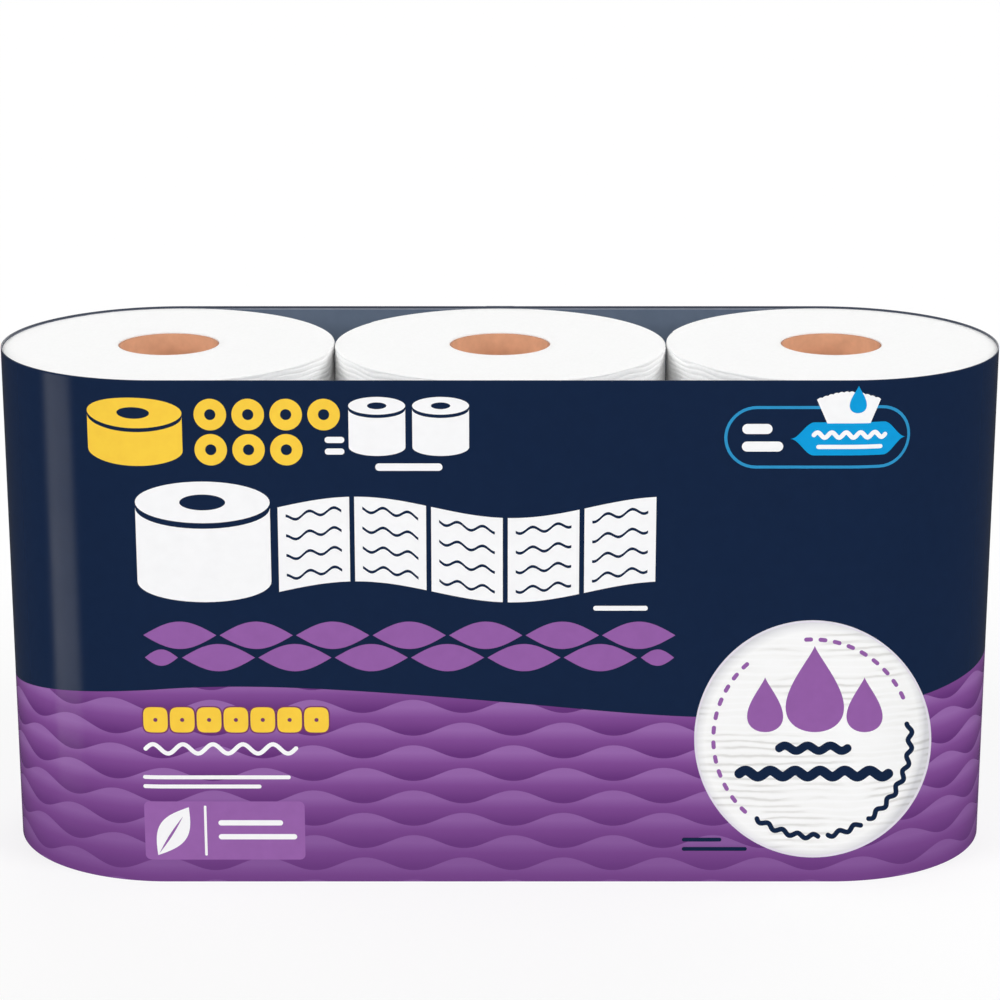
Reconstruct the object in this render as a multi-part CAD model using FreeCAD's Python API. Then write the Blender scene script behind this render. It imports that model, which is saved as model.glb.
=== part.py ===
import FreeCAD, Part
import math
import os

# A wrapped pack of six toilet paper rolls, in millimetres, +Z up.
# The rolls stand on end in two layers of three, and one printed film sleeve holds them.
# X runs along the row of rolls, Y through the depth of the pack, and the pack stands on Z = 0.
# The origin is on the floor under the middle roll.

# Driving dimensions of one roll
roll_diameter = 129.5
roll_height = 100.2
turn_thickness = 0.75
turn_gap = 0.3
loose_half_turns = 1
tail_angle_first = 75.0
tail_angle_step = 17.0

# Driving dimensions of one cardboard core
core_diameter = 39.4
core_wall = 0.9
core_setback = 0.2
core_clearance = 0.1

# Driving dimensions of the stack: one roll for each column in each layer
column_names = ["left", "middle", "right"]
layer_names = ["lower", "upper"]
gap_between_rolls = 0.5

# Driving dimensions of the film sleeve
film_wall = 0.3
film_clearance = 0.35
film_above_rolls = 1.0
rim_bead_height = 0.8
rim_bead_inset = 0.35
lap_width = 12.0
lap_proud = 0.25
lap_edge_taper = 1.0

# Sizes that follow from the ones above
rolls_in_row = len(column_names)
layers = len(layer_names)
roll_radius = roll_diameter / 2
paper_bore_radius = core_diameter / 2 + core_clearance
roll_pitch = roll_diameter + gap_between_rolls
turn_pitch = turn_thickness + turn_gap
end_centre = roll_pitch * (rolls_in_row - 1) / 2
stack_height = roll_height * layers
film_height = stack_height + film_above_rolls
film_inner_radius = roll_radius + film_clearance
film_outer_radius = film_inner_radius + film_wall


def half_turns(start_radius, count, start_angle):
    """A spiral of half circles about two centres, each a half pitch smaller than the one before."""
    outward = FreeCAD.Vector(math.cos(math.radians(start_angle)), math.sin(math.radians(start_angle)), 0)
    sideways = FreeCAD.Vector(outward.y, -outward.x, 0)
    arcs = []
    for number in range(count):
        radius = start_radius - number * turn_pitch / 2
        side = 1 if number % 2 == 0 else -1
        centre = FreeCAD.Vector(0, 0, 0) if side == 1 else outward * (-turn_pitch / 2)
        start = centre + outward * (side * radius)
        middle = centre + sideways * (side * radius)
        end = centre - outward * (side * radius)
        arcs.append(Part.Arc(start, middle, end).toShape())
    return arcs


def wound_outline(tail_angle):
    """The roll's outline: the outermost paper lies loose, so a spiral gap runs in under the tail."""
    outside = half_turns(roll_radius, 2 + loose_half_turns, tail_angle)
    underside = half_turns(roll_radius - turn_thickness, loose_half_turns, tail_angle)
    tail_end = Part.makeLine(outside[0].firstVertex().Point, underside[0].firstVertex().Point)
    gap_end = Part.makeLine(outside[-1].lastVertex().Point, underside[-1].lastVertex().Point)
    return Part.Wire(Part.__sortEdges__(outside + [gap_end] + underside + [tail_end]))


def paper_roll(tail_angle):
    """One roll of wound tissue with the bore that its core fills."""
    paper = Part.Face(wound_outline(tail_angle)).extrude(FreeCAD.Vector(0, 0, roll_height))
    bore = Part.makeCylinder(paper_bore_radius, roll_height)
    return paper.cut(bore)


def cardboard_core():
    """The tube that the paper is wound on, a little shorter than the roll at both ends."""
    length = roll_height - 2 * core_setback
    outside = Part.makeCylinder(core_diameter / 2, length)
    inside = Part.makeCylinder(core_diameter / 2 - core_wall, length)
    return outside.cut(inside)


def stadium_face(radius, height):
    """A round-ended outline that hugs the row of rolls, at one height."""
    left = FreeCAD.Vector(-end_centre, 0, height)
    right = FreeCAD.Vector(end_centre, 0, height)
    across = FreeCAD.Vector(0, radius, 0)
    along = FreeCAD.Vector(radius, 0, 0)
    front = Part.makeLine(left - across, right - across)
    right_end = Part.Arc(right - across, right + along, right + across).toShape()
    back = Part.makeLine(right + across, left + across)
    left_end = Part.Arc(left + across, left - along, left - across).toShape()
    return Part.Face(Part.Wire([front, right_end, back, left_end]))


def stadium_ring(outer_radius, inner_radius, bottom, height):
    """A wall between two round-ended outlines."""
    section = stadium_face(outer_radius, bottom).cut(stadium_face(inner_radius, bottom))
    return section.extrude(FreeCAD.Vector(0, 0, height))


def lap_seam():
    """The welded overlap of the film down the middle of the back, thinned off at its edges."""
    inside = film_outer_radius - film_wall / 2
    outside = film_outer_radius + lap_proud
    half = lap_width / 2
    corners = [
        FreeCAD.Vector(-half, inside, 0),
        FreeCAD.Vector(half, inside, 0),
        FreeCAD.Vector(half, film_outer_radius, 0),
        FreeCAD.Vector(half - lap_edge_taper, outside, 0),
        FreeCAD.Vector(lap_edge_taper - half, outside, 0),
        FreeCAD.Vector(-half, film_outer_radius, 0),
    ]
    section = Part.Face(Part.makePolygon(corners + corners[:1]))
    return section.extrude(FreeCAD.Vector(0, 0, film_height))


def film_sleeve():
    """The printed film: an open sleeve with a beaded rim and a seam at the back."""
    wall = stadium_ring(film_outer_radius, film_inner_radius, 0, film_height)
    bead_bottom = film_height - rim_bead_height
    bead_inner_radius = film_inner_radius - rim_bead_inset
    bead = stadium_ring(film_outer_radius - film_wall / 2, bead_inner_radius, bead_bottom, rim_bead_height)
    return wall.fuse([bead, lap_seam()]).removeSplitter()


def placed(shape, column, layer):
    """A copy of a roll or core in its place in the stack."""
    copy = shape.copy()
    copy.translate(FreeCAD.Vector(column * roll_pitch - end_centre, 0, layer * roll_height))
    return copy


def whole_pack():
    """Every piece of the pack by name."""
    pieces = {"printed_film_sleeve": film_sleeve()}
    core = cardboard_core()
    core.translate(FreeCAD.Vector(0, 0, core_setback))
    for layer in range(layers):
        for column in range(rolls_in_row):
            place = layer_names[layer] + "_" + column_names[column]
            number = layer * rolls_in_row + column
            roll = paper_roll(tail_angle_first + number * tail_angle_step)
            pieces[place + "_paper_roll"] = placed(roll, column, layer)
            pieces[place + "_core"] = placed(core, column, layer)
    return pieces


os.makedirs("parts", exist_ok=True)
for name, piece in whole_pack().items():
    solid = piece.Solids[0] if len(piece.Solids) == 1 else piece
    solid.exportStep("parts/" + name + ".step")
    print(name, solid.isValid(), len(piece.Solids), round(solid.Volume / 1000, 2), "cm3")
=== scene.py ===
import math

import bmesh
import bpy
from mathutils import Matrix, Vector, noise
from mathutils.geometry import tessellate_polygon


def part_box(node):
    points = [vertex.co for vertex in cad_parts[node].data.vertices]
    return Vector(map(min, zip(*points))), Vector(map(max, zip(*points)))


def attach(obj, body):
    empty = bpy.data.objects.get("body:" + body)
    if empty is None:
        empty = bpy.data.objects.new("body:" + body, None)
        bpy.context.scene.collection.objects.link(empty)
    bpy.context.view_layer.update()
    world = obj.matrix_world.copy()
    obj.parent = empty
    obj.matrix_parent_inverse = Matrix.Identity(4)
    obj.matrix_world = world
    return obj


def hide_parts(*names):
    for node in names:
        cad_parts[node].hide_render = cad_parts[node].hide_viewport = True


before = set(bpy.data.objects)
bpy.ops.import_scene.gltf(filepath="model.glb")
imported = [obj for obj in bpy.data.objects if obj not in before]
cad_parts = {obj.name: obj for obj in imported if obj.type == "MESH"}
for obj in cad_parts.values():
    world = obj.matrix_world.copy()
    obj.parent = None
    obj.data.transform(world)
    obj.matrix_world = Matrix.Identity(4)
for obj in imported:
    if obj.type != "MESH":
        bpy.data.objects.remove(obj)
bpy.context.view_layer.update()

# A wrapped pack of toilet paper rolls: a printed film sleeve, wound rolls and cardboard cores.
# Lengths below are in millimetres, and MM turns them into the frame's metres.
# A place on the film is (s, z): s runs round the outside from the middle of the front, z is the height.
MM = 0.001

# The film's outline, read from the frame
film_low, film_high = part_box("printed_film_sleeve")
WRAP_RADIUS = -film_low[1] / MM
END_X = film_high[0] / MM - WRAP_RADIUS
FILM_TOP = film_high[2] / MM
LAP_PROUD = film_high[1] / MM - WRAP_RADIUS
HALF_TURN = math.pi * WRAP_RADIUS
LOOP = 4 * END_X + 2 * HALF_TURN

# The film's own sizes
FILM_WALL = 0.3
BEAD_HEIGHT = 0.8
BEAD_INSET = 0.35
LAP_WIDTH = 12.0
LAP_TAPER = 1.0
CRIMP_PITCH = 2.0
CRIMP_DEPTH = 0.06

# The levels of the film and of each layer of ink, out from the film's outline
FILM_LEVEL = -0.10
FIELD_LEVEL = -0.075
SHAPE_LEVEL = -0.05
DETAIL_LEVEL = -0.025
TOP_LEVEL = 0.0
INK_THICKNESS = 0.02

# The satin gloss of the film
FILM_ROUGHNESS = 0.19
FILM_SPECULAR = 0.16

# The rolls: the tight film and the neighbouring rolls press their swelling turns back
ROLL_RADIUS = END_X / 2 + 0.2
PRESSED_RADIUS = WRAP_RADIUS - FILM_WALL - 0.05
PRESSED_HALF_WIDTH = END_X / 2 - 0.02
TURN_PITCH = 0.525
LOOSE_TURNS = 0.5
TAIL_ANGLE_FIRST = 75.0
TAIL_ANGLE_STEP = 17.0
# The embossed ripples on a roll's side, down from the end that shows
RIPPLE_PITCH = 2.0
RIPPLE_DEPTH = 0.42
RIPPLED_HEIGHT = 20.0
# The soft turns of an upper roll stand this far out of its end, just under the film's bead
END_LIFT = 0.2
# Each turn is drawn on a roll's end by a crest and a groove
ROW_PARTS = (0.0, TURN_PITCH / 2)
LOOSE_GROOVE = 0.4
FAINT_GROOVE = 0.05
END_UNEVEN = 0.12
# How far the outermost edge of an end is rounded off
EDGE_DROP = 0.14
EDGE_INSET = 0.12
# The paper's inmost edge: its drop on the end, and the width of it that has no drawn turns
BORE_DROP = 0.06
BORE_MARGIN = 0.4
# How far the plain end of a roll is rounded off, and where the ripples begin on the end that shows
ROLL_EDGE = 0.28

# The cores: board wound in a spiral, with its seam open on the inside
CORE_WALL = 0.9
CORE_CLEARANCE = 0.1
SEAM_RISE = 118.0
SEAM_DEPTH = 0.14
SEAM_HALF_WIDTH = 0.5
CUT_SOFTNESS = 0.15

# The printed wave field
WAVES_ROUND_LOOP = 24
WAVE_LENGTH = LOOP / WAVES_ROUND_LOOP
WAVE_HEIGHT = 2.7
WAVE_ROW_PITCH = 9.31
WAVE_ROWS = 11
# The lower edge of the first row: its middle height, and the place of one of its crests
FIRST_WAVE_LEVEL = 81.91
FIRST_WAVE_CREST = -14.1
# Below this height painted shade makes the waves duller towards the floor, by this share at the foot
SHADED_BELOW = 50.0
FOOT_SHADE_SHARE = 0.55
# Its top line: the middle height, then (times round the pack, cosine part, sine part) of each swell
FIELD_MIDDLE = 74.31
FIELD_SWELLS = ((1, -0.16, 4.05), (2, 0.63, -6.57), (3, -0.63, -2.25), (6, 0.33, 0.39))

# The white badge on the front, drawn as a flat card that the camera faces
BADGE_MIDDLE = (120.84, 59.33)
BADGE_RADIUS = 45.8
BADGE_RIM = 0.8
BADGE_RIPPLE_PITCH = 2.9
# The middle and reach of its outline on the film, along s and along z
BADGE_ON_FILM = ((121.5, 46.3), (58.5, 48.35))

# The camera, fitted to the photograph's edges
CAMERA_DISTANCE = 1296.7
CAMERA_PITCH = math.radians(17.229)
CAMERA_BACK = CAMERA_DISTANCE * math.cos(CAMERA_PITCH)
CAMERA_HEIGHT = 100.0 + CAMERA_DISTANCE * math.sin(CAMERA_PITCH)
CAMERA_EYE = Vector((0, -CAMERA_BACK, CAMERA_HEIGHT))
FOCAL_PIXELS = 3227.1
CENTRE_PIXEL = (499.87, 588.18)
IMAGE_PIXELS = 1000.0
SENSOR_WIDTH = 36.0

# The distant lamps, each with its azimuth, elevation, spread and share.
# A share of 1 alone would light a facing white surface to white.
SKY_LAMPS = {
    "front_lamp": (-4, 24, 16, 0.165),
    "left_lamp": (-62, 24, 30, 0.52),
    "right_lamp": (62, 24, 30, 0.52),
    "back_lamp": (165, 30, 60, 0.36),
}
# What the surroundings give as light, and how bright they look in the film's gloss
WORLD_SHARE = 0.3
WORLD_SHEEN = 0.06
# The softbox at the left, in metres: it reaches below the floor, which the gloss doesn't mirror
STRIP_SIZE = (0.44, 0.36)
STRIP_PLACE = (-1.246, -0.278, -0.17)
STRIP_AIM = (-0.13, 0, 0.1)
STRIP_POWER = 1.6
# The floor's grey in the light it throws back, then as the camera sees it, and its look out of all shade
FLOOR_SHADE = 0.5
FLOOR_SHOWN = 0.25
FLOOR_LOOK = 1.01


def ink(red, green, blue):
    """A colour written in the 0 to 255 numbers of a screen, as Blender's linear colour."""
    levels = (red / 255, green / 255, blue / 255)
    return tuple(c / 12.92 if c <= 0.04045 else ((c + 0.055) / 1.055) ** 2.4 for c in levels)


NAVY = ink(21, 38, 67)
FILM_INSIDE = ink(92, 104, 122)
# Painted shadow: the dark band over the bead along the film's top edge
RIM_PAINTED_SHADOW = ink(60, 66, 80)
# Painted highlight: the pale band on the film's inside just under the bead
CREASE_PAINTED_HIGHLIGHT = ink(146, 152, 166)
WAVE_LIGHT = ink(151, 104, 171)
WAVE_MIDDLE = ink(130, 77, 149)
WAVE_DARK = ink(103, 53, 123)
# The greyer, darker purple of the painted shade at the film's foot
WAVE_FOOT_SHADE = ink(111, 67, 131)
BADGE_SHADE = ink(222, 222, 226)
BADGE_HALF_SHADE = ink(240, 240, 242)
BADGE_GROOVE = ink(226, 225, 223)
BADGE_PAPER = ink(249, 249, 248)
BADGE_CREST = ink(254, 254, 254)
TISSUE = ink(253, 253, 252)
BOARD = ink(222, 168, 134)
BOARD_CUT = ink(200, 145, 114)
PRINT_INKS = {
    "yellow": ink(255, 209, 70),
    "white": ink(252, 252, 253),
    "purple": ink(149, 96, 167),
    "plum": ink(153, 101, 171),
    "sky_line": ink(47, 147, 200),
    "sky": ink(14, 158, 222),
    "navy": NAVY,
    "badge_rim": ink(230, 225, 236),
    "shade": ink(122, 62, 104),
}


# Placing points on the film
def film_place(s, z, out=0.0):
    """The point in the frame that lies out millimetres proud of the film's outline."""
    s = (s + LOOP / 2) % LOOP - LOOP / 2
    side = 1 if s >= 0 else -1
    along = abs(s)
    if along <= END_X:
        x, y, face_x, face_y = along, -WRAP_RADIUS, 0.0, -1.0
    elif along <= END_X + HALF_TURN:
        angle = (along - END_X) / WRAP_RADIUS
        face_x, face_y = math.sin(angle), -math.cos(angle)
        x, y = END_X + WRAP_RADIUS * face_x, WRAP_RADIUS * face_y
    else:
        x, y, face_x, face_y = 2 * END_X + HALF_TURN - along, WRAP_RADIUS, 0.0, 1.0
    return Vector((side * (x + out * face_x), y + out * face_y, z)) * MM


def film_stations(straight_step, turn_steps):
    """Values of s once round the film: even steps on the flats and finer ones on the round ends."""
    flats = max(2, round(END_X / straight_step))
    half = [END_X * i / flats for i in range(flats)]
    half += [END_X + HALF_TURN * i / turn_steps for i in range(turn_steps)]
    half += [END_X + HALF_TURN + END_X * i / flats for i in range(flats)]
    return [-s for s in reversed(half[1:])] + half + [LOOP / 2]


# Making meshes and objects
def new_object(name, data):
    piece = bpy.data.objects.new(name, data)
    bpy.context.scene.collection.objects.link(piece)
    return piece


def new_piece(name, vertices, faces, materials, face_slots=None, sharp=40):
    mesh = bpy.data.meshes.new(name)
    mesh.from_pydata(vertices, [], faces)
    return finished_piece(name, mesh, materials, face_slots, sharp)


def finished_piece(name, mesh, materials, face_slots=None, sharp=40):
    """Gives a mesh its object, materials and smooth shading, and lets it ride on the pack."""
    for material in materials:
        mesh.materials.append(material)
    if face_slots:
        mesh.polygons.foreach_set("material_index", face_slots)
    mesh.shade_smooth()
    mesh.set_sharp_from_angle(angle=math.radians(sharp))
    mesh.update()
    piece = new_object(name, mesh)
    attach(piece, "root")
    return piece


# Shader helpers
def new_material(name, colour, roughness, specular=0.5):
    material = bpy.data.materials.new(name)
    material.use_nodes = True
    shader = material.node_tree.nodes["Principled BSDF"]
    shader.inputs["Base Color"].default_value = (*colour, 1)
    shader.inputs["Roughness"].default_value = roughness
    shader.inputs["Specular IOR Level"].default_value = specular
    return material


def add_node(material, kind, **values):
    """A new shader node: a value named in_To_Min goes to its input To Min, others to its own settings."""
    node = material.node_tree.nodes.new(kind)
    for key, value in values.items():
        if key.startswith("in_"):
            node.inputs[key[3:].replace("_", " ")].default_value = value
        else:
            setattr(node, key, value)
    return node


def link(material, source, target):
    material.node_tree.links.new(source, target)


def to_surface(material, source, name):
    """Feeds one input of the material's surface shader."""
    link(material, source, material.node_tree.nodes["Principled BSDF"].inputs[name])


def object_place(material):
    return add_node(material, "ShaderNodeTexCoord").outputs["Object"]


def remapped(material, source, **ends):
    """The source taken from one range to another."""
    node = add_node(material, "ShaderNodeMapRange", **ends)
    link(material, source, node.inputs["Value"])
    return node.outputs["Result"]


def ramp(material, source, stops):
    """A colour ramp through (place, colour) stops."""
    node = add_node(material, "ShaderNodeValToRGB")
    elements = node.color_ramp.elements
    while len(elements) < len(stops):
        elements.new(0.5)
    for element, (place, colour) in zip(elements, stops):
        element.position = place
        element.color = (*colour, 1)
    link(material, source, node.inputs["Fac"])
    return node.outputs["Color"]


def scaled(colour, factor):
    return tuple(min(1.0, c * factor) for c in colour)


def mottle(material, colour, spread, scale, detail=3.0):
    """Varies the base colour a little by a fine noise, as real ink, board and paper do."""
    grain = add_node(material, "ShaderNodeTexNoise", in_Scale=scale, in_Detail=detail)
    link(material, object_place(material), grain.inputs["Vector"])
    stops = [(0.3, scaled(colour, 1 - spread)), (0.7, scaled(colour, 1 + spread))]
    to_surface(material, ramp(material, grain.outputs["Fac"], stops), "Base Color")
    return grain


def bump(material, height, strength, distance):
    node = add_node(material, "ShaderNodeBump", in_Strength=strength, in_Distance=distance * MM)
    link(material, height, node.inputs["Height"])
    to_surface(material, node.outputs["Normal"], "Normal")


# Materials
def film_finish(material):
    """The satin gloss of thin printed film, with the faint unevenness of stretched plastic."""
    pull = add_node(material, "ShaderNodeTexNoise", in_Scale=35.0, in_Detail=2.0)
    link(material, object_place(material), pull.inputs["Vector"])
    low, high = FILM_ROUGHNESS - 0.04, FILM_ROUGHNESS + 0.05
    gloss = remapped(material, pull.outputs["Fac"], in_To_Min=low, in_To_Max=high)
    to_surface(material, gloss, "Roughness")
    bump(material, pull.outputs["Fac"], 0.12, 0.15)


def film_ink(name, colour, spread=0.03):
    material = new_material(name, colour, FILM_ROUGHNESS, FILM_SPECULAR)
    mottle(material, colour, spread, 220.0)
    film_finish(material)
    return material


def wave_ink():
    """Each row of waves is pale along its crests and darkens down to its lower edge."""
    material = new_material("wave_purple", WAVE_LIGHT, FILM_ROUGHNESS, FILM_SPECULAR)
    place = add_node(material, "ShaderNodeUVMap", uv_map="print_place")
    parts = add_node(material, "ShaderNodeSeparateXYZ")
    link(material, place.outputs["UV"], parts.inputs["Vector"])
    row_height = (WAVE_ROW_PITCH + 2 * WAVE_HEIGHT) * MM
    depth = remapped(material, parts.outputs["Y"], in_From_Max=row_height)
    fade = ramp(material, depth, [(0.22, WAVE_LIGHT), (0.5, WAVE_MIDDLE), (0.92, WAVE_DARK)])
    # Painted shade: towards the film's foot, near the floor, the waves are mixed towards a greyer, darker
    # purple
    split = add_node(material, "ShaderNodeSeparateXYZ")
    link(material, object_place(material), split.inputs["Vector"])
    ends = {"in_From_Max": SHADED_BELOW * MM, "in_To_Min": FOOT_SHADE_SHARE, "in_To_Max": 0.0}
    low = remapped(material, split.outputs["Z"], **ends)
    mix = add_node(material, "ShaderNodeMix", data_type="RGBA")
    mix.inputs["B"].default_value = (*WAVE_FOOT_SHADE, 1)
    link(material, low, mix.inputs["Factor"])
    link(material, fade, mix.inputs["A"])
    to_surface(material, mix.outputs["Result"], "Base Color")
    film_finish(material)
    return material


def badge_ink():
    """White with soft grey ripples like embossed tissue."""
    material = new_material("badge_white", PRINT_INKS["white"], FILM_ROUGHNESS, FILM_SPECULAR)
    place = add_node(material, "ShaderNodeUVMap", uv_map="print_place")
    shape = {"wave_type": "BANDS", "bands_direction": "Y", "in_Distortion": 5.5, "in_Detail": 4.0}
    ripples = add_node(material, "ShaderNodeTexWave", in_Detail_Scale=0.9, **shape)
    ripples.inputs["Scale"].default_value = 2 * math.pi / (20 * BADGE_RIPPLE_PITCH * MM)
    squash = add_node(material, "ShaderNodeMapping", in_Scale=(0.35, 1.0, 1.0))
    link(material, place.outputs["UV"], squash.inputs["Vector"])
    link(material, squash.outputs["Vector"], ripples.inputs["Vector"])
    # Patches where the ripples fade out
    patches = add_node(material, "ShaderNodeTexNoise", in_Scale=70.0, in_Detail=2.0)
    link(material, squash.outputs["Vector"], patches.inputs["Vector"])
    fading = remapped(material, patches.outputs["Fac"], in_From_Min=0.42, in_From_Max=0.68)
    kept = add_node(material, "ShaderNodeMath", operation="MAXIMUM")
    link(material, ripples.outputs["Fac"], kept.inputs[0])
    link(material, fading, kept.inputs[1])
    stops = [(0.0, BADGE_GROOVE), (0.35, BADGE_PAPER), (1.0, BADGE_CREST)]
    lines = ramp(material, kept.outputs["Value"], stops)
    # The soft shade inside the rim
    spread = add_node(material, "ShaderNodeMapping")
    for axis, (middle, reach) in enumerate(BADGE_ON_FILM):
        spread.inputs["Scale"].default_value[axis] = 1 / (reach * MM)
        spread.inputs["Location"].default_value[axis] = -middle / reach
    link(material, place.outputs["UV"], spread.inputs["Vector"])
    inward = add_node(material, "ShaderNodeTexGradient", gradient_type="SPHERICAL")
    link(material, spread.outputs["Vector"], inward.inputs["Vector"])
    stops = [(0.0, BADGE_SHADE), (0.035, BADGE_HALF_SHADE), (0.085, (1, 1, 1))]
    shade = ramp(material, inward.outputs["Color"], stops)
    mix = add_node(material, "ShaderNodeMix", data_type="RGBA", blend_type="MULTIPLY", in_Factor=1.0)
    link(material, lines, mix.inputs["A"])
    link(material, shade, mix.inputs["B"])
    to_surface(material, mix.outputs["Result"], "Base Color")
    film_finish(material)
    return material


def tissue_paper():
    """Soft matte tissue with a fine fibrous grain."""
    material = new_material("tissue_paper", TISSUE, 0.95, 0.15)
    grain = mottle(material, TISSUE, 0.02, 900.0, 6.0)
    bump(material, grain.outputs["Fac"], 0.35, 0.05)
    shader = material.node_tree.nodes["Principled BSDF"]
    shader.inputs["Sheen Weight"].default_value = 0.15
    shader.inputs["Subsurface Weight"].default_value = 0.6
    shader.inputs["Subsurface Radius"].default_value = (1.0, 1.0, 1.0)
    shader.inputs["Subsurface Scale"].default_value = 3 * MM
    return material


def core_board(name, colour):
    """Uncoated brown board with flecks of fibre."""
    material = new_material(name, colour, 0.9, 0.2)
    grain = mottle(material, colour, 0.06, 260.0, 8.0)
    bump(material, grain.outputs["Fac"], 0.4, 0.08)
    return material


# The film sleeve
def film_sleeve(outside, inside, rim, crease_highlight):
    """The wall once round, with its beaded rim and its cut bottom edge; the bead is coloured with a
    painted shadow, and a painted highlight lies just under it.
    """
    stations = film_stations(straight_step=6.5, turn_steps=72)
    bead_foot = FILM_TOP - BEAD_HEIGHT
    inner = -FILM_WALL
    bead = inner - BEAD_INSET
    # Each entry is (height, distance out of the outline, slot), up the outside and down the inside
    levels = 14
    profile = [(bead_foot * i / levels, FILM_LEVEL, 0) for i in range(levels + 1)]
    # Slot 2 is the bead, coloured with painted shadow
    profile += [(FILM_TOP - 0.25, FILM_LEVEL, 0), (FILM_TOP - 0.05, FILM_LEVEL - 0.05, 2)]
    profile += [(FILM_TOP, FILM_LEVEL - 0.15, 2), (FILM_TOP, bead + 0.2, 2), (FILM_TOP - 0.15, bead, 2)]
    # Slot 3 is the step under the bead and a narrow band of the inside, coloured with painted highlight
    profile += [(bead_foot + 0.1, bead, 3), (bead_foot, inner - 0.1, 3), (bead_foot - 0.1, inner, 3)]
    profile += [((bead_foot - 0.6) * (levels - i) / levels, inner, 1) for i in range(levels + 1)]
    rows, columns = len(profile), len(stations) - 1
    vertices = [film_place(s, z, out) for s in stations[:-1] for z, out, _ in profile]
    faces, slots = [], []
    for column in range(columns):
        here, there = column * rows, (column + 1) % columns * rows
        for row in range(rows):
            above = (row + 1) % rows
            faces.append((here + row, there + row, there + above, here + above))
            slots.append(profile[row][2])
    piece = new_piece("film_sleeve", vertices, faces, [outside, inside, rim, crease_highlight], slots)
    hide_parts("printed_film_sleeve")
    return piece


def lap_rise(s):
    """How far the overlap lifts the print at one place round the film."""
    inside = LAP_WIDTH / 2 - abs(LOOP / 2 - abs(s))
    return (LAP_PROUD - FIELD_LEVEL) * min(1.0, max(0.0, inside / LAP_TAPER))


def film_seam(outside, steps_in_crimp=6):
    """The crimped overlap down the middle of the back."""
    half = LAP_WIDTH / 2
    across = [-half, -half + LAP_TAPER, -half / 2, 0.0, half / 2, half - LAP_TAPER, half]
    top = LAP_PROUD - (FIELD_LEVEL - FILM_LEVEL)
    proud = [FILM_LEVEL, top, top, top, top, top, FILM_LEVEL]
    steps = round(FILM_TOP / CRIMP_PITCH * steps_in_crimp)
    vertices, faces = [], []
    for step in range(steps + 1):
        z = FILM_TOP * step / steps
        crimp = CRIMP_DEPTH * (0.5 - 0.5 * math.cos(2 * math.pi * z / CRIMP_PITCH))
        for a, p in zip(across, proud):
            vertices.append(film_place(LOOP / 2 + a, z, p - crimp if p > 0 else p))
        vertices += [film_place(LOOP / 2 + a, z, FILM_LEVEL - 0.05) for a in (half, -half)]
    count = len(across) + 2
    for step in range(steps):
        low, high = step * count, (step + 1) * count
        for k in range(count):
            beside = (k + 1) % count
            faces.append((low + k, low + beside, high + beside, high + k))
    faces.append(tuple(reversed(range(count))))
    faces.append(tuple(steps * count + k for k in range(count)))
    piece = new_piece("film_back_seam", vertices, faces, [outside])
    return piece


# Flat shapes for the print, as outlines of (s, z) points
def arc(centre_s, centre_z, radius_s, radius_z, start, end, steps):
    """Points along an ellipse from one angle to another, in degrees."""
    points = []
    for i in range(steps + 1):
        angle = math.radians(start + (end - start) * i / steps)
        points.append((centre_s + radius_s * math.cos(angle), centre_z + radius_z * math.sin(angle)))
    return points


def ellipse(centre_s, centre_z, radius_s, radius_z, steps=48):
    return arc(centre_s, centre_z, radius_s, radius_z, 0, 360, steps)[:-1]


def disc(centre_s, centre_z, radius, steps=48):
    return [ellipse(centre_s, centre_z, radius, radius, steps)]


def ring(centre_s, centre_z, outer, inner):
    return [ellipse(centre_s, centre_z, outer, outer), ellipse(centre_s, centre_z, inner, inner)]


def rounded(left, bottom, right, top, radius, steps=10):
    near, far, low, high = left + radius, right - radius, bottom + radius, top - radius
    points = []
    for corner, (s, z) in enumerate(((far, low), (far, high), (near, high), (near, low))):
        points += arc(s, z, radius, radius, 90 * corner - 90, 90 * corner, steps)
    return points


def pill(left, bottom, right, top):
    return [rounded(left, bottom, right, top, min(right - left, top - bottom) / 2 * 0.999)]


def stroke(line, thickness, cap_steps=8):
    """The outline of a round-ended line of even thickness along a run of points."""
    half, last = thickness / 2, len(line) - 1
    points = [Vector(point) for point in line]
    headings = [(points[min(i + 1, last)] - points[max(i - 1, 0)]).normalized() for i in range(last + 1)]
    left = [p + half * h.orthogonal() for p, h in zip(points, headings)]
    right = [p - half * h.orthogonal() for p, h in zip(points, headings)]
    tip, tail = (math.degrees(math.atan2(h.y, h.x)) for h in (headings[-1], headings[0]))
    outline = right + arc(*points[-1], half, half, tip - 90, tip + 90, cap_steps)[1:-1]
    outline += left[::-1] + arc(*points[0], half, half, tail + 90, tail + 270, cap_steps)[1:-1]
    return [[tuple(point) for point in outline]]


def ripple(left, right, z, thickness, height, length, phase=0.0):
    """A wavy line with round ends."""
    steps = max(12, round((right - left) / length * 20))
    along = [left + (right - left) * i / steps for i in range(steps + 1)]
    wave = [z + height * math.sin(2 * math.pi * (s - left) / length + phase) for s in along]
    return stroke(list(zip(along, wave)), thickness)


def drop(centre_s, bottom, width, height, steps=60):
    """A water drop with its tip up."""
    widest = 0.7155
    points = []
    for i in range(steps):
        turn = 2 * math.pi * i / steps
        bulge = math.sin(turn) * math.sin(turn / 2) ** 1.5 / widest
        points.append((centre_s + width / 2 * bulge, bottom + height / 2 * (1 + math.cos(turn))))
    return [points]


def lens(centre_s, centre_z, width, height, steps=28):
    """A pointed oval with softly swelling sides."""
    across = [width * (i / steps - 0.5) for i in range(steps + 1)]
    swell = [height / 2 * math.cos(math.pi * a / width) for a in across]
    points = [(centre_s + a, centre_z - h) for a, h in zip(across, swell)]
    points += [(centre_s + a, centre_z + h) for a, h in zip(across[-2:0:-1], swell[-2:0:-1])]
    return [points]


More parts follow.
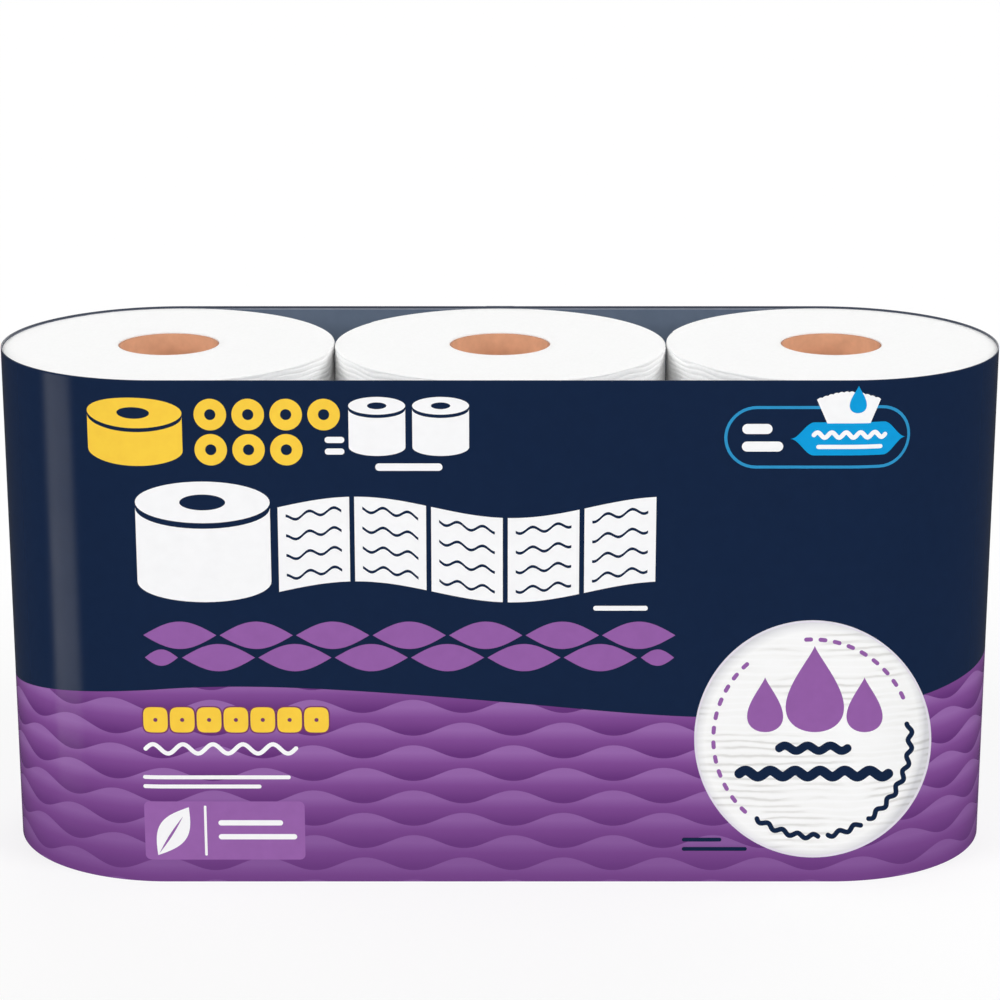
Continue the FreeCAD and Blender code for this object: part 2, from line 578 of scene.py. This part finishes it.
def cushion(centre_s, centre_z, width, height, steps=48):
    """A square with full round corners, swollen like a small cushion."""
    points = []
    for i in range(steps):
        angle = 2 * math.pi * i / steps
        across, up = math.cos(angle), math.sin(angle)
        swollen_s = math.copysign(math.sqrt(abs(across)), across)
        swollen_z = math.copysign(math.sqrt(abs(up)), up)
        points.append((centre_s + width / 2 * swollen_s, centre_z + height / 2 * swollen_z))
    return [points]


def packet(left, bottom, right, top, taper, steps=16):
    """A soft packet that is drawn out to a point at both ends."""
    middle, half = (bottom + top) / 2, (top - bottom) / 2
    upper = []
    for i in range(steps + 1):
        swell = 0.5 - 0.5 * math.cos(math.pi * i / steps)
        upper.append((left + taper * i / steps, middle + half * swell))
    upper += [(left + right - s, z) for s, z in reversed(upper)]
    lower = [(s, 2 * middle - z) for s, z in upper[-2:0:-1]]
    return [upper + lower]


def roll_sign(centre_s, bottom, width, height, gap=1.3):
    """A standing roll in two shapes: its top with the core's hole, and its side."""
    half, tilt = width / 2, width * 0.16
    top = bottom + height - tilt
    lid = ellipse(centre_s, top, half, tilt)
    hole = ellipse(centre_s, top, half * 0.34, tilt * 0.38)
    side = arc(centre_s, bottom + tilt, half, tilt, 180, 360, 24)
    side += arc(centre_s, top - gap, half, tilt, 360, 180, 24)
    return [[lid, hole], [side]]


# Turning flat shapes into ink on the film
def ink_piece(name, shapes, material, level, crossing_step=2.6):
    """One thin closed layer for several flat shapes, bent round the film's ends."""
    flat = bmesh.new()
    for loops in shapes:
        polygon = [[Vector((s, z, 0)) for s, z in loop] for loop in loops]
        points = [point for loop in polygon for point in loop]
        corners = [flat.verts.new(point) for point in points]
        for triangle in tessellate_polygon(polygon):
            a, b, c = (points[i] for i in triangle)
            if (b - a).cross(c - a).length > 1e-7:
                flat.faces.new([corners[i] for i in triangle])
    reach = max(abs(v.co.x) for v in flat.verts)
    cut = END_X
    while cut < reach:
        for side in (-1, 1):
            everything = flat.verts[:] + flat.edges[:] + flat.faces[:]
            bmesh.ops.bisect_plane(flat, geom=everything, plane_co=(side * cut, 0, 0), plane_no=(1, 0, 0))
        cut += crossing_step
    bmesh.ops.delete(flat, geom=[v for v in flat.verts if not v.link_faces], context="VERTS")
    return laid_on_film(name, flat, material, level)


def laid_on_film(name, flat, material, level, mapped=False):
    """Thickens flat faces in (s, z), maps their places if they aren't, and bends them on to the film."""
    for face in flat.faces:
        if face.normal.z <= 0 and face.calc_area() > 0:
            face.normal_flip()
    grown = bmesh.ops.extrude_face_region(flat, geom=flat.faces[:])
    under = [g for g in grown["geom"] if isinstance(g, bmesh.types.BMVert)]
    bmesh.ops.translate(flat, verts=under, vec=(0, 0, INK_THICKNESS))
    flat.normal_update()
    if not mapped:
        places = flat.loops.layers.uv.new("print_place")
        for face in flat.faces:
            for corner in face.loops:
                corner[places].uv = corner.vert.co.xy * MM
    for vertex in flat.verts:
        s, z, height = vertex.co
        vertex.co = film_place(s, z, level - INK_THICKNESS + height + lap_rise(s))
    bmesh.ops.remove_doubles(flat, verts=flat.verts, dist=1e-8)
    bmesh.ops.recalc_face_normals(flat, faces=flat.faces)
    mesh = bpy.data.meshes.new(name)
    flat.to_mesh(mesh)
    flat.free()
    piece = finished_piece(name, mesh, [material], sharp=50)
    return piece


# The wave field
def field_top(s):
    """The gentle line where the navy ends and the waves begin."""
    height = FIELD_MIDDLE
    for times, cosine, sine in FIELD_SWELLS:
        turn = 2 * math.pi * times * s / LOOP
        height += cosine * math.cos(turn) + sine * math.sin(turn)
    return height


def wave_line(number, s):
    """The lower edge of one row of waves, half a wave out of step with the next."""
    shift = FIRST_WAVE_CREST - (number % 2) * WAVE_LENGTH / 2
    level = FIRST_WAVE_LEVEL - WAVE_ROW_PITCH * number
    return level + WAVE_HEIGHT * math.cos(2 * math.pi * (s - shift) / WAVE_LENGTH)


def wave_row(number, material, steps_in_wave=24, rows=3):
    """One row of the field, cut off by the field's top line and by the foot of the film."""
    flat = bmesh.new()
    places = flat.loops.layers.uv.new("print_place")
    crest = FIRST_WAVE_LEVEL - WAVE_ROW_PITCH * (number - 1) + WAVE_HEIGHT
    columns, thinnest = [], 0.004
    count = WAVES_ROUND_LOOP * steps_in_wave
    stations = [LOOP * (i / count - 0.5) for i in range(count + 1)]
    lap_foot = LOOP / 2 - LAP_WIDTH / 2
    for lap_edge in (lap_foot, lap_foot + LAP_TAPER):
        stations += [lap_edge, -lap_edge]
    for s in sorted(stations):
        low = max(0.0, wave_line(number, s))
        high = max(low, min(field_top(s), wave_line(number - 1, s)))
        columns.append([flat.verts.new((s, low + (high - low) * k / rows, 0)) for k in range(rows + 1)])
    for left, right in zip(columns, columns[1:]):
        if max(line[-1].co.y - line[0].co.y for line in (left, right)) < thinnest:
            continue
        for k in range(rows):
            face = flat.faces.new((left[k], right[k], right[k + 1], left[k + 1]))
            for corner in face.loops:
                corner[places].uv = (corner.vert.co.x * MM, (crest - corner.vert.co.y) * MM)
    bmesh.ops.delete(flat, geom=[v for v in flat.verts if not v.link_faces], context="VERTS")
    bmesh.ops.remove_doubles(flat, verts=flat.verts, dist=0.002)
    bmesh.ops.dissolve_degenerate(flat, edges=flat.edges, dist=0.001)
    if flat.faces:
        laid_on_film("wave_row_%d" % number, flat, material, FIELD_LEVEL, mapped=True)


# The generic print, laid out in the film's own millimetres
def count_line(inks):
    """A yellow roll and rows of roll ends, then two white rolls with a bar."""
    yellow = roll_sign(-137.6, 168.3, 36.8, 26.4, 1.5)
    yellow += [ring(-108.6 + 14.2 * i, 188.3, 6.1, 2.1) for i in range(4)]
    yellow += [ring(-108.6 + 14.2 * i, 174.7, 6.1, 2.1) for i in range(3)]
    white = [pill(-65.8, 177.3, -58.4, 179.7), pill(-65.8, 172.8, -58.4, 175.2)]
    white += roll_sign(-46.1, 172.3, 21.3, 22.8) + roll_sign(-22.2, 172.3, 21.3, 22.8)
    white += [pill(-46.9, 166.5, -21.6, 169.4)]
    inks["yellow"] += yellow
    inks["white"] += white


def sheet_banner(inks):
    """A large white roll whose sheets run off to the right in a wave, rippled like the paper."""
    inks["white"] += roll_sign(-112.4, 114.7, 51.0, 47.6, 2.2)
    left, right, sheets, gap = -84.0, 59.1, 5, 1.9
    width = (right - left + gap) / sheets

    def sway(s):
        return 4.2 * math.sin(2 * math.pi * (s - left) / 118.0)

    for number in range(sheets):
        start = left + number * width
        end = start + width - gap
        along = [start + (end - start) * i / 14 for i in range(15)]
        outline = [(s, 118.8 + sway(s)) for s in along] + [(s, 152.2 + sway(s)) for s in reversed(along)]
        inks["white"].append([outline])
        for line in range(4):
            base = 123.8 + 7.8 * line
            steps = 40
            inner = [start + 3.0 + (end - start - 6.0) * i / steps for i in range(steps + 1)]
            curve = [base + sway(s) + 1.15 * math.sin(2 * math.pi * (s - left) / 9.4) for s in inner]
            stripe = [(s, z - 0.55) for s, z in zip(inner, curve)]
            stripe += [(s, z + 0.55) for s, z in zip(reversed(inner), reversed(curve))]
            inks["navy_detail"].append([stripe])
    inks["white"].append(pill(35.6, 111.3, 56.4, 113.2))


def lens_band(inks):
    """Two staggered rows of pointed ovals, like quilting."""
    width, height, pitch = 28.0, 11.0, 29.25
    upper, lower, first = 101.4, 92.4, -122.4
    for number in range(7):
        inks["purple"].append(lens(first + pitch * number, upper, width, height))
    for number in range(6):
        inks["purple"].append(lens(first + pitch * (number + 0.5), lower, width, height))
    for end in (first - pitch * 0.25, first + pitch * 6.25):
        inks["purple"].append(lens(end, lower, width / 2.2, height * 0.6))


def soft_line(inks):
    """A row of buttoned yellow cushions, a white ripple and two fine lines."""
    width, height, border, pitch, first, level = 9.5, 10.3, 0.5, 10.35, -132.8, 67.1
    for number in range(7):
        middle = first + pitch * number
        inks["shade"].append(cushion(middle, level, width + 2 * border, height + 2 * border))
        inks["yellow_detail"].append(cushion(middle, level, width, height))
        inks["shade_top"].append(disc(middle, level, 0.8, 20))
    inks["white"].append(ripple(-137.0, -78.8, 55.2, 1.7, 1.9, 11.6))
    inks["white"].append(pill(-138.4, 42.7, -81.1, 44.3))
    inks["white"].append(pill(-138.4, 38.9, -92.5, 40.5))


def leaf_plate(inks):
    """A paler plate with a leaf, a divider and two lines."""
    inks["plum"].append([rounded(-138.4, 9.2, -75.9, 33.5, 2.2)])
    inks["white_detail"].append(pill(-115.1, 10.9, -114.1, 31.8))
    inks["white_detail"].append(leaf(-127.2, 21.1, 23.6, 11.6))
    inks["plum_top"].append(leaf(-128.1, 19.6, 18.2, 1.0))
    inks["white_detail"].append(pill(-109.6, 23.5, -84.4, 25.7))
    inks["white_detail"].append(pill(-109.6, 17.7, -79.0, 19.9))


def leaf(centre_s, centre_z, length, width):
    """A pointed oval turned upright and slanted."""
    slant = math.radians(58)
    outline = lens(0, 0, length, width)[0]
    turned = []
    for s, z in outline:
        turned_s = s * math.cos(slant) - z * math.sin(slant)
        turned_z = s * math.sin(slant) + z * math.cos(slant)
        turned.append((centre_s + turned_s, centre_z + turned_z))
    return [turned]


def wipes_pill(inks):
    """A blue outline round two lines and a small box of tissues under a drop."""
    left, bottom, right, top, line = 84.2, 167.4, 155.1, 191.6, 1.15
    outer = rounded(left, bottom, right, top, (top - bottom) / 2 * 0.999)
    inner = rounded(left + line, bottom + line, right - line, top - line, (top - bottom) / 2 - line)
    inks["sky_line"].append([outer, inner])
    inks["white_detail"].append(pill(90.9, 180.8, 102.2, 184.7))
    inks["white_detail"].append(pill(90.9, 174.0, 106.4, 177.9))
    inks["sky"].append(packet(109.0, 172.5, 153.2, 185.3, 9.0))
    fan = [(122.7, 184.9), (139.0, 184.9)]
    for i in range(61):
        turn = i / 60
        scallop = 0.35 * abs(math.sin(math.pi * 12 * turn))
        fan.append((142.7 - 24.1 * turn, 194.0 + 2.9 * math.sin(math.pi * turn) + scallop))
    inks["white_detail"].append([fan])
    inks["sky_top"].append(drop(134.1, 188.8, 6.6, 10.6))
    inks["white_top"].append(ripple(117.8, 144.8, 180.4, 1.7, 1.0, 5.4))
    inks["white_top"].append(pill(118.8, 175.0, 143.9, 176.6))


def card_place(across, up):
    """Where the camera, looking at a point of the flat card, sees the film: its (s, z)."""
    eye = CAMERA_EYE
    card = film_place(*BADGE_MIDDLE) / MM
    card += Vector((across, up * math.sin(CAMERA_PITCH), up * math.cos(CAMERA_PITCH)))
    look = card - eye
    reach = (-WRAP_RADIUS - eye.y) / look.y
    side = 1 if look.x > 0 else -1
    if abs(look.x * reach) <= END_X:
        return look.x * reach, eye.z + look.z * reach
    # The nearer crossing with the round end
    start = Vector((-side * END_X, eye.y))
    heading = look.xy
    square, half = heading.dot(heading), start.dot(heading)
    reach = (-half - math.sqrt(half * half - square * (start.dot(start) - WRAP_RADIUS**2))) / square
    meet = start + heading * reach
    return side * (END_X + WRAP_RADIUS * math.atan2(side * meet.x, -meet.y)), eye.z + look.z * reach


def on_card(shapes):
    return [[[card_place(*point) for point in loop] for loop in loops] for loops in shapes]


def bent_line(radius, start, end, thickness, height=0.0, length=9.0):
    """A round-ended line along an arc of the card, wavy where it has a height."""
    run = math.radians(abs(end - start)) * radius
    steps = max(4, round(run / length * 16))
    line = []
    for i in range(steps + 1):
        angle = math.radians(start + (end - start) * i / steps)
        reach = radius + height * math.sin(2 * math.pi * run * i / steps / length)
        line.append((reach * math.cos(angle), reach * math.sin(angle)))
    return stroke(line, thickness)


def badge_marks(inks):
    """A dashed ring, three drops and navy ripples on the white badge."""
    ring_radius, dash, thickness = 38.4, 3.45, 1.6
    half_dash = math.degrees((dash - thickness) / ring_radius) / 2
    dashes = []
    for start, end, count in ((92.4, 26.0, 9), (132.7, 225.7, 12)):
        for number in range(count):
            middle = start + (end - start) * number / (count - 1)
            dashes.append(bent_line(ring_radius, middle - half_dash, middle + half_dash, thickness))
    drops = [drop(0.8, 2.6, 23.0, 33.4), drop(-18.4, 2.6, 14.2, 21.2), drop(20.0, 2.6, 14.2, 21.2)]
    navy = [ripple(-13.0, 13.4, -3.6, 3.2, 1.0, 8.8), ripple(-28.4, 29.2, -13.4, 3.8, 1.2, 9.6)]
    for start, end in ((-125, -87), (-81, -61), (-55, 9)):
        navy.append(bent_line(37.6, start, end, 1.9, 0.8, 6.2))
    inks["purple_detail"] += on_card(dashes + drops)
    inks["navy_top"] += on_card(navy)
    inks["rim"] += on_card([ring(0, 0, BADGE_RADIUS, BADGE_RADIUS - BADGE_RIM)])
    inks["navy_detail"].append(pill(71.0, 16.8, 86.4, 18.4))
    inks["navy_detail"].append(pill(71.0, 12.9, 96.4, 14.5))


# Each layer of the print, with its ink and how high it lies
PRINT_LAYERS = {
    "yellow": ("yellow", SHAPE_LEVEL),
    "white": ("white", SHAPE_LEVEL),
    "purple": ("purple", SHAPE_LEVEL),
    "plum": ("plum", SHAPE_LEVEL),
    "sky_line": ("sky_line", SHAPE_LEVEL),
    "navy_detail": ("navy", DETAIL_LEVEL),
    "white_detail": ("white", DETAIL_LEVEL),
    "purple_detail": ("purple", DETAIL_LEVEL),
    "sky": ("sky", SHAPE_LEVEL + 0.01),
    "navy_top": ("navy", DETAIL_LEVEL),
    "white_top": ("white", TOP_LEVEL),
    "sky_top": ("sky", TOP_LEVEL),
    "plum_top": ("plum", TOP_LEVEL),
    "rim": ("badge_rim", DETAIL_LEVEL),
    "shade": ("shade", SHAPE_LEVEL),
    "yellow_detail": ("yellow", DETAIL_LEVEL),
    "shade_top": ("shade", TOP_LEVEL),
}


def printed_front():
    """Collects every shape by its layer and lays each layer down in its ink."""
    inks = {name: [] for name in PRINT_LAYERS}
    for part in (count_line, sheet_banner, lens_band, soft_line, leaf_plate, wipes_pill, badge_marks):
        part(inks)
    materials = {}
    for name, colour in PRINT_INKS.items():
        materials[name] = film_ink("ink_" + name, colour, 0.015 if name == "white" else 0.03)
    for layer, (name, level) in PRINT_LAYERS.items():
        ink_piece("print_" + layer, inks[layer], materials[name], level)
    ink_piece("print_badge", on_card([disc(0, 0, BADGE_RADIUS, 128)]), badge_ink(), SHAPE_LEVEL)


# The rolls
def spiral_point(start_radius, turned, tail):
    """A point of the winding: half circles about two centres, each half a pitch smaller than the last."""
    half = int(turned / math.pi + 1e-9)
    radius = start_radius - half * TURN_PITCH / 2
    shift = -TURN_PITCH / 2 if half % 2 else 0.0
    angle = tail - turned
    x = shift * math.cos(tail) + radius * math.cos(angle)
    y = shift * math.sin(tail) + radius * math.sin(angle)
    press = min(1.0, PRESSED_RADIUS / math.hypot(x, y))
    return max(-PRESSED_HALF_WIDTH, min(PRESSED_HALF_WIDTH, x * press)), y * press


def side_depth(turned, z, seed):
    """How deep the embossed lines press into the roll's side, z down from the end that shows."""
    run = turned * ROLL_RADIUS
    wander = 0.42 * math.sin(run / 6.8 + 2.2 * math.sin(z / 9.0 + seed))
    wander += 0.3 * math.sin(run / 3.3 + z / 5.2 + seed)
    line = (0.5 - 0.5 * math.cos(2 * math.pi * (z + wander) / RIPPLE_PITCH)) ** 2.5
    strength = 0.75 + 0.25 * noise.noise(Vector((run / 15.0, z / 3.0, seed)))
    soft = 0.1 * (0.5 + 0.5 * noise.noise(Vector((run / 22.0, z / 15.0, seed + 4))))
    fade = max(0.0, min(1.0, (RIPPLED_HEIGHT - z) / 3.0))
    return (RIPPLE_DEPTH * line * strength + soft) * fade


def end_drop(turns_in, part, seed):
    """How far the paper lies below the roll's end, by how many turns in it is."""
    if part == 1:
        loose = 1.0 if turns_in < LOOSE_TURNS else max(0.0, 1 - (turns_in - LOOSE_TURNS) * 12)
        groove = FAINT_GROOVE + (LOOSE_GROOVE - FAINT_GROOVE) * loose
    else:
        groove = 0.0
    uneven = END_UNEVEN * (0.5 + 0.5 * noise.noise(Vector((turns_in * 0.07, seed, 0.5))))
    return groove + uneven


def side_heights(height, ripple_rows, plain_rows=12):
    """Where the rows of a roll's side lie, down from the end that shows: fine ones over the ripples."""
    fine_rows = round(RIPPLED_HEIGHT / RIPPLE_PITCH * ripple_rows)
    heights = [ROLL_EDGE + (RIPPLED_HEIGHT - ROLL_EDGE) * k / fine_rows for k in range(fine_rows)]
    plain = height - ROLL_EDGE - RIPPLED_HEIGHT
    return heights + [RIPPLED_HEIGHT + plain * k / plain_rows for k in range(plain_rows + 1)]


def paper_roll(name, centre, bottom, height, bore, tail, seed, columns, ripple_rows, fine_top, material):
    """One wound roll: a rippled side that follows the spiral, one end with every turn, one plain end."""
    step = len(ROW_PARTS)
    rings = step * (int((ROLL_RADIUS - bore - BORE_MARGIN) / TURN_PITCH) - 1)
    vertices, faces = [], []

    def put(x, y, fall):
        z = height - fall if fine_top else fall
        vertices.append(((centre[0] + x) * MM, (centre[1] + y) * MM, (bottom + z) * MM))
        return len(vertices) - 1

    def put_winding(inset, turn, fall):
        return put(*spiral_point(ROLL_RADIUS - inset, turn, tail), fall)

    turned = [2 * math.pi * i / columns for i in range(columns + 1)]
    # The fine end first: rows of one turn meet the rows one turn further in where the spiral closes
    grid = []
    for row in range(rings + 1):
        turn, part = divmod(row, step)
        offset = turn * TURN_PITCH + ROW_PARTS[part]
        line = []
        for i in range(columns):
            x, y = spiral_point(ROLL_RADIUS - offset, turned[i], tail)
            fall = end_drop(turn + i / columns, part, seed)
            if row == 0:
                fall += EDGE_DROP
                x, y = x * (1 - EDGE_INSET / ROLL_RADIUS), y * (1 - EDGE_INSET / ROLL_RADIUS)
            line.append(put(x, y, fall))
        grid.append(line)
    for row in range(rings + 1):
        if row + step <= rings:
            grid[row].append(grid[row + step][0])
        else:
            turn, part = divmod(row, step)
            offset = turn * TURN_PITCH + ROW_PARTS[part]
            grid[row].append(put_winding(offset, 2 * math.pi, end_drop(turn + 1, part, seed)))

    def face(*corners):
        faces.append(corners if fine_top else tuple(reversed(corners)))

    for row in range(rings):
        for i in range(columns):
            face(grid[row][i], grid[row + 1][i], grid[row + 1][i + 1], grid[row][i + 1])
    angles = [tail - t for t in turned[:-1]]
    bore_fine = [put(bore * math.cos(a), bore * math.sin(a), BORE_DROP) for a in angles]
    bore_plain = [put(bore * math.cos(a), bore * math.sin(a), height) for a in angles]
    last = grid[rings]
    for i in range(columns):
        here, there = bore_fine[i], bore_fine[(i + 1) % columns]
        if i == columns - 1:
            chain = [grid[row][columns] for row in range(rings, rings - step, -1)]
            face(last[i], here, there, *chain)
        else:
            face(last[i], here, there, last[i + 1])
        face(here, bore_plain[i], bore_plain[(i + 1) % columns], there)
    # The side, from the fine end to the plain end
    heights = side_heights(height, ripple_rows)
    levels = len(heights) - 1
    side = [[put_winding(side_depth(t, z, seed), t, z) for t in turned] for z in heights]
    rim = grid[0]
    for i in range(columns):
        face(rim[i + 1], side[0][i + 1], side[0][i], rim[i])
        for k in range(levels):
            face(side[k][i + 1], side[k + 1][i + 1], side[k + 1][i], side[k][i])
    foot = [put_winding(ROLL_EDGE, t, height) for t in turned]
    for i in range(columns):
        face(side[levels][i + 1], foot[i + 1], foot[i], side[levels][i])
        here, there = bore_plain[i], bore_plain[(i + 1) % columns]
        if i == 0:
            face(foot[0], foot[1], there, here, foot[columns])
        else:
            face(foot[i], foot[i + 1], there, here)
    # The tail's cut edge stands proud of the turn under it
    chain = [grid[row][0] for row in range(step + 1)]
    face(*chain, side[0][columns], side[0][0])
    for k in range(levels):
        face(side[k][0], side[k][columns], side[k + 1][columns], side[k + 1][0])
    face(side[levels][0], side[levels][columns], foot[columns], foot[0])
    piece = new_piece(name + "_tissue", vertices, faces, [material], sharp=60)
    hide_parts(name)
    return piece


# The cores
def core_tube(name, centre, board, cut):
    """A spirally wound board tube: its columns follow the winding, and one of them is the open seam."""
    low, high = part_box(name)
    bottom, top = low[2] / MM, high[2] / MM
    outer = (high[0] - low[0]) / 2 / MM
    inner = outer - CORE_WALL
    around = 84
    seam = SEAM_HALF_WIDTH / inner
    angles = [-2 * seam, -seam, 0.0, seam, 2 * seam]
    first, last = 3 * seam, 2 * math.pi - 3 * seam
    angles += [first + (last - first) * i / around for i in range(around + 1)]
    rows = 60
    soft = CUT_SOFTNESS
    profile = [(inner, bottom + soft), (inner + soft, bottom), (outer - soft, bottom)]
    profile += [(outer, bottom + soft), (outer, top - soft), (outer - soft, top)]
    profile += [(inner + soft, top), (inner, top - soft)]
    tall = top - bottom - 4 * soft
    profile += [(inner, top - 2 * soft - tall * k / rows) for k in range(rows + 1)]
    vertices, faces, slots = [], [], []
    for number, angle in enumerate(angles):
        for radius, z in profile:
            turn = angle + 2 * math.pi * (z - bottom) / SEAM_RISE
            sunk = SEAM_DEPTH if number == 2 and radius == inner else 0.0
            x, y = (radius + sunk) * math.cos(turn), (radius + sunk) * math.sin(turn)
            vertices.append(((centre[0] + x) * MM, (centre[1] + y) * MM, z * MM))
    ring_size, count = len(profile), len(angles)
    for column in range(count):
        here, there = column * ring_size, (column + 1) % count * ring_size
        for k in range(ring_size):
            above = (k + 1) % ring_size
            faces.append((here + k, there + k, there + above, here + above))
            # Steps 0 to 2 and 4 to 6 of the profile are the cut ends
            slots.append(1 if k < 7 and k != 3 else 0)
    piece = new_piece(name + "_board", vertices, faces, [board, cut], slots, sharp=50)
    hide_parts(name)
    return piece


def rolls_and_cores():
    paper = tissue_paper()
    board, cut = core_board("core_board", BOARD), core_board("core_cut_end", BOARD_CUT)
    places = [layer + column for layer in ("lower_", "upper_") for column in ("left", "middle", "right")]
    for number, place in enumerate(places):
        core_low, core_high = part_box(place + "_core")
        centre = [(core_low[k] + core_high[k]) / 2 / MM for k in (0, 1)]
        bore = (core_high[0] - core_low[0]) / 2 / MM + CORE_CLEARANCE
        roll_low, roll_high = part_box(place + "_paper_roll")
        bottom, height = roll_low[2] / MM, (roll_high[2] - roll_low[2]) / MM
        tail = math.radians(TAIL_ANGLE_FIRST + number * TAIL_ANGLE_STEP)
        seed = 1.7 * number + 0.3
        name = place + "_paper_roll"
        upper = place.startswith("upper")
        height += END_LIFT if upper else 0.0
        columns, ripple_rows = (224, 8) if upper else (160, 6)
        paper_roll(name, centre, bottom, height, bore, tail, seed, columns, ripple_rows, upper, paper)
        core_tube(place + "_core", centre, board, cut)


# The studio
def floor():
    """A pale floor that keeps the pack's soft shadow and looks white to the camera."""
    size = 20.0
    corners = [(-size, -size, 0), (size, -size, 0), (size, size, 0), (-size, size, 0)]
    mesh = bpy.data.meshes.new("studio_floor")
    mesh.from_pydata(corners, [], [(0, 1, 2, 3)])
    shade, shown = [FLOOR_SHADE] * 3, [FLOOR_SHOWN] * 3
    material = new_material("studio_floor", shade, 1.0, 0.0)
    shader = material.node_tree.nodes["Principled BSDF"]
    path = add_node(material, "ShaderNodeLightPath")
    lift = add_node(material, "ShaderNodeMath", operation="MULTIPLY")
    lift.inputs[1].default_value = FLOOR_LOOK - FLOOR_SHOWN
    link(material, path.outputs["Is Camera Ray"], lift.inputs[0])
    shader.inputs["Emission Color"].default_value = (1, 1, 1, 1)
    to_surface(material, lift.outputs["Value"], "Emission Strength")
    paint = add_node(material, "ShaderNodeMix", data_type="RGBA")
    paint.inputs["A"].default_value = (*shade, 1)
    paint.inputs["B"].default_value = (*shown, 1)
    link(material, path.outputs["Is Camera Ray"], paint.inputs["Factor"])
    to_surface(material, paint.outputs["Result"], "Base Color")
    mesh.materials.append(material)
    piece = new_object("studio_floor", mesh)
    piece.visible_glossy = False


def lamp_object(name, lamp, place, aim):
    piece = new_object(name, lamp)
    piece.location = place
    piece.rotation_euler = (Vector(aim) - Vector(place)).to_track_quat("-Z", "Y").to_euler()
    piece.visible_camera = False
    return piece


def sky_lamp(name, azimuth, elevation, spread, share):
    """An even, distant lamp, aimed at the pack."""
    lamp = bpy.data.lights.new(name, "SUN")
    lamp.angle = math.radians(spread)
    lamp.energy = share * math.pi
    turn, rise = math.radians(azimuth), math.radians(elevation)
    place = (math.sin(turn) * math.cos(rise), -math.cos(turn) * math.cos(rise), math.sin(rise))
    lamp_object(name, lamp, place, (0, 0, 0))


def side_strip():
    """A softbox seen only as the pale band near the film's left end."""
    lamp = bpy.data.lights.new("side_strip", "AREA")
    lamp.shape = "RECTANGLE"
    lamp.size, lamp.size_y = STRIP_SIZE
    lamp.energy = STRIP_POWER
    piece = lamp_object("side_strip", lamp, STRIP_PLACE, STRIP_AIM)
    piece.visible_diffuse = False


def lights():
    world = bpy.context.scene.world or bpy.data.worlds.new("studio")
    bpy.context.scene.world = world
    world.use_nodes = True
    path = add_node(world, "ShaderNodeLightPath")
    sheen = remapped(world, path.outputs["Is Glossy Ray"], in_To_Min=WORLD_SHARE, in_To_Max=WORLD_SHEEN)
    level = add_node(world, "ShaderNodeMapRange")
    link(world, path.outputs["Is Camera Ray"], level.inputs["Value"])
    link(world, sheen, level.inputs["To Min"])
    background = world.node_tree.nodes["Background"]
    background.inputs["Color"].default_value = (1, 1, 1, 1)
    link(world, level.outputs["Result"], background.inputs["Strength"])
    for name, settings in SKY_LAMPS.items():
        sky_lamp(name, *settings)
    side_strip()


def camera():
    """Looks down on the pack as the photograph does."""
    data = bpy.data.cameras.new("camera")
    data.sensor_width = SENSOR_WIDTH
    data.lens = SENSOR_WIDTH * FOCAL_PIXELS / IMAGE_PIXELS
    data.shift_x = 0.5 - CENTRE_PIXEL[0] / IMAGE_PIXELS
    data.shift_y = CENTRE_PIXEL[1] / IMAGE_PIXELS - 0.5
    data.clip_end = 50.0
    piece = new_object("camera", data)
    piece.location = CAMERA_EYE * MM
    piece.rotation_euler = (math.radians(90) - CAMERA_PITCH, 0, 0)
    bpy.context.scene.camera = piece


camera()
lights()
floor()
navy_film = film_ink("film_navy", NAVY)
inside_film = film_ink("film_inside", FILM_INSIDE)
rim_shadow_film = film_ink("film_rim_painted_shadow", RIM_PAINTED_SHADOW)
crease_highlight_film = film_ink("film_crease_painted_highlight", CREASE_PAINTED_HIGHLIGHT)
film_sleeve(navy_film, inside_film, rim_shadow_film, crease_highlight_film)
film_seam(navy_film)
waves = wave_ink()
for row_number in range(WAVE_ROWS):
    wave_row(row_number, waves)
printed_front()
rolls_and_cores()

bpy.context.scene.view_settings.view_transform = "Standard"
